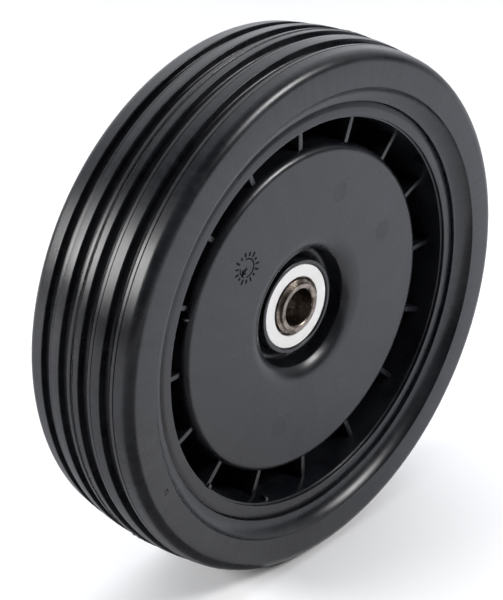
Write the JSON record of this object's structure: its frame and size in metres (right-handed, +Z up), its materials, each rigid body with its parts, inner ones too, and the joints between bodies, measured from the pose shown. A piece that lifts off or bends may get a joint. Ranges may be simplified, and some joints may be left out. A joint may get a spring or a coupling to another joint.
{
  "type": "lawn mower wheel",
  "caption": "Lawn mower wheel with a ribbed solid rubber tyre, a dished moulded rim and sealed ball bearings for a plain axle.",
  "frame": {"origin": "centre of the wheel, on the axle's axis and midway across the tyre", "axes": "+Y along the axle from the dished outer face to the open back, +Z up, +X forward"},
  "size_m": [0.2146, 0.0534, 0.2146],
  "materials": {
    "tyre_rubber": "matte moulded rubber",
    "rim_plastic": "finely textured moulded plastic",
    "bearing_steel": "turned, lightly oiled",
    "ball_steel": "polished",
    "cage_nylon": "natural moulded nylon",
    "shield_plastic": "smooth moulded acetal"
  },
  "bodies": {
    "axle_sleeve": {"front_inner_ring": "bearing_steel", "spacer_tube": "bearing_steel", "rear_inner_ring": "bearing_steel"},
    "wheel": {"tyre": "tyre_rubber", "rim": "rim_plastic", "front_outer_ring": "bearing_steel", "front_dust_shield": "shield_plastic", "rear_outer_ring": "bearing_steel", "rear_dust_shield": "shield_plastic"},
    "front_ball_set": {"front_balls": "ball_steel", "front_ball_cage": "cage_nylon"},
    "rear_ball_set": {"rear_balls": "ball_steel", "rear_ball_cage": "cage_nylon"}
  },
  "joints": [
    {"name": "wheel_spin", "type": "hinge", "parent": "axle_sleeve", "child": "wheel", "pos_m": [0, 0, 0], "axis": [0, 1, 0], "continuous": true},
    {"name": "front_cage_spin", "type": "hinge", "parent": "axle_sleeve", "child": "front_ball_set", "pos_m": [0, -0.0041, 0], "axis": [0, 1, 0], "continuous": true},
    {"name": "rear_cage_spin", "type": "hinge", "parent": "axle_sleeve", "child": "rear_ball_set", "pos_m": [0, 0.0137, 0], "axis": [0, 1, 0], "continuous": true}
  ],
  "couplings": [
    {"joint": "front_cage_spin", "follows": "wheel_spin", "ratio": 0.5856},
    {"joint": "rear_cage_spin", "follows": "wheel_spin", "ratio": 0.5856}
  ]
}
